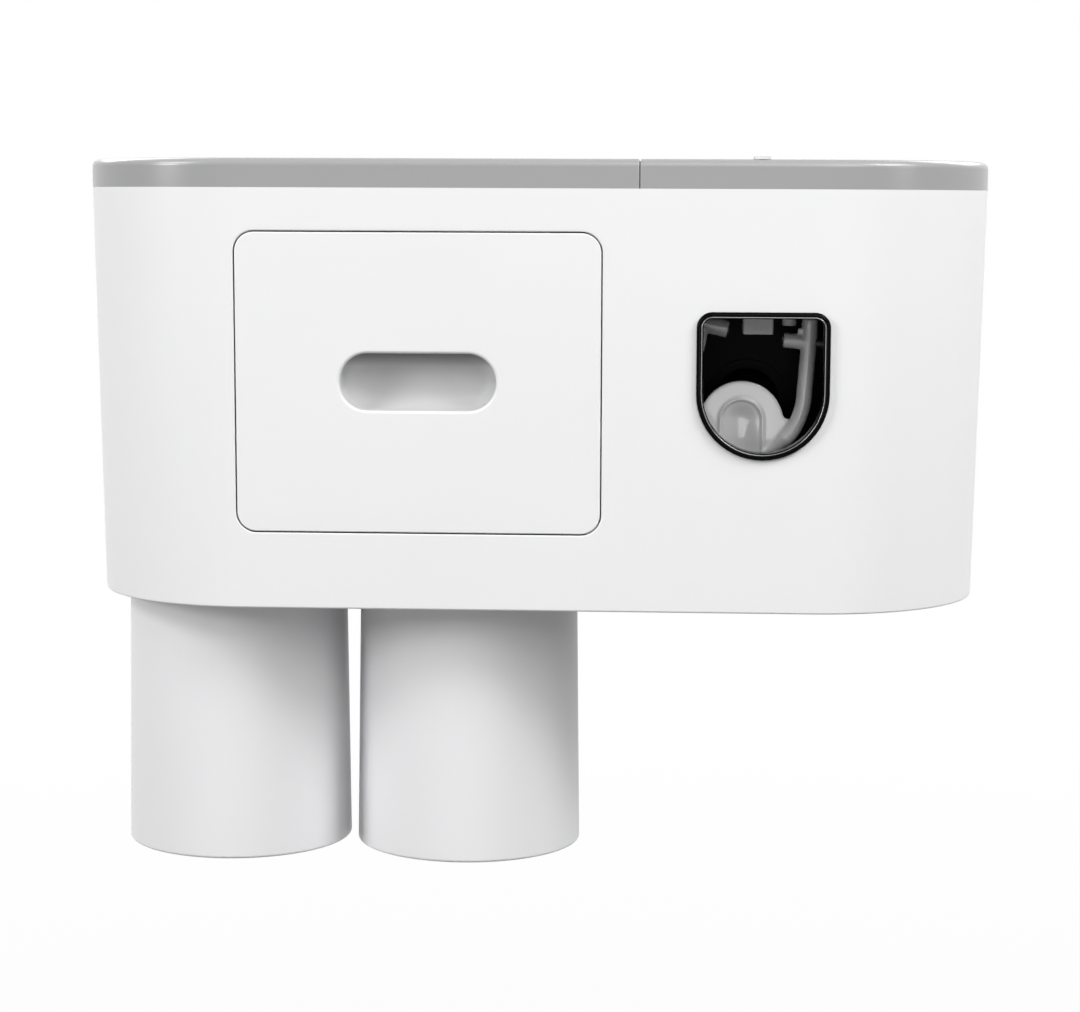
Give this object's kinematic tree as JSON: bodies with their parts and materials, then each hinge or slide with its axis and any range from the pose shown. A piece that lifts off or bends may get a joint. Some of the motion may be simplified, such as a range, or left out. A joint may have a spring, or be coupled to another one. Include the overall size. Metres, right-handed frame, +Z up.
{
  "type": "toothpaste dispenser",
  "caption": "Wall-hung toothpaste dispenser: rounded white body with a grey tray and lid, a flush drawer, a D-shaped window with a push lever, and cups hung mouth down.",
  "frame": {"origin": "on the wall face, in the middle of the hanging line through the two keyholes", "axes": "+X to the right as seen from the front, +Y into the wall, +Z up; the front faces -Y"},
  "size_m": [0.265, 0.1007, 0.2054],
  "materials": {
    "white_shell": "smooth satin gloss",
    "white_inner": "smooth",
    "back_plastic": "fine texture",
    "grey_top": "satin",
    "black_gloss": "high gloss",
    "black_inner": "satin",
    "lever_white": "gloss",
    "grey_nozzle": "smooth",
    "silicone": "soft",
    "clear_tab": "translucent",
    "pad_rubber": "matt",
    "steel": "plain zinc",
    "magnet": "nickel plate",
    "cup_plastic": "satin"
  },
  "bodies": {
    "casing": {"main_shell": "white_shell", "bay_divider": "white_inner", "back_plate": "back_plastic", "back_screws": "steel", "wall_pads": "pad_rubber", "hinge_rail": "grey_top", "rail_screws": "steel", "lid_hinge_pin": "steel", "drawer_sleeve": "white_inner", "window_trim": "black_gloss", "dispense_chamber": "black_inner", "lever_pins": "steel", "pump_body": "white_inner", "pump_riser": "white_inner", "pump_screws": "steel", "pump_bellows": "silicone", "bellows_ring": "white_inner", "inlet_valve": "silicone", "outlet_valve": "silicone", "nozzle": "grey_nozzle", "channel_plugs": "silicone", "tube_sleeve": "silicone", "seat_magnets": "magnet", "magnet_caps": "white_inner"},
    "tray": {"storage_tray": "grey_top"},
    "lid": {"dispenser_lid": "grey_top", "lid_tab": "clear_tab"},
    "drawer": {"drawer_front": "white_shell", "drawer_box": "white_inner", "drawer_screws": "steel"},
    "lever": {"push_lever": "lever_white"},
    "cup_left": {"left_cup": "cup_plastic", "left_cup_disc": "steel"},
    "cup_right": {"right_cup": "cup_plastic", "right_cup_disc": "steel"}
  },
  "joints": [
    {"name": "drawer_slide", "type": "slide", "parent": "casing", "child": "drawer", "axis": [0, -1, 0], "range_m": [0, 0.065]},
    {"name": "lid_hinge", "type": "hinge", "parent": "casing", "child": "lid", "pos_m": [0.08, -0.0065, 0.0409], "axis": [-1, 0, 0], "range_deg": [0, 85]},
    {"name": "lever_hinge", "type": "hinge", "parent": "casing", "child": "lever", "pos_m": [0.0645, -0.078, -0.0043], "axis": [0.9903, 0, -0.1392], "range_deg": [0, 18], "stiffness_Nm_per_rad": 0.15, "deforming": ["pump_bellows"]},
    {"name": "tray_lift", "type": "slide", "parent": "casing", "child": "tray", "axis": [0, 0, 1], "range_m": [0, 0.03]},
    {"name": "left_cup_pull", "type": "slide", "parent": "casing", "child": "cup_left", "axis": [0, 0, -1], "range_m": [0, 0.06]},
    {"name": "right_cup_pull", "type": "slide", "parent": "casing", "child": "cup_right", "axis": [0, 0, -1], "range_m": [0, 0.06]}
  ]
}
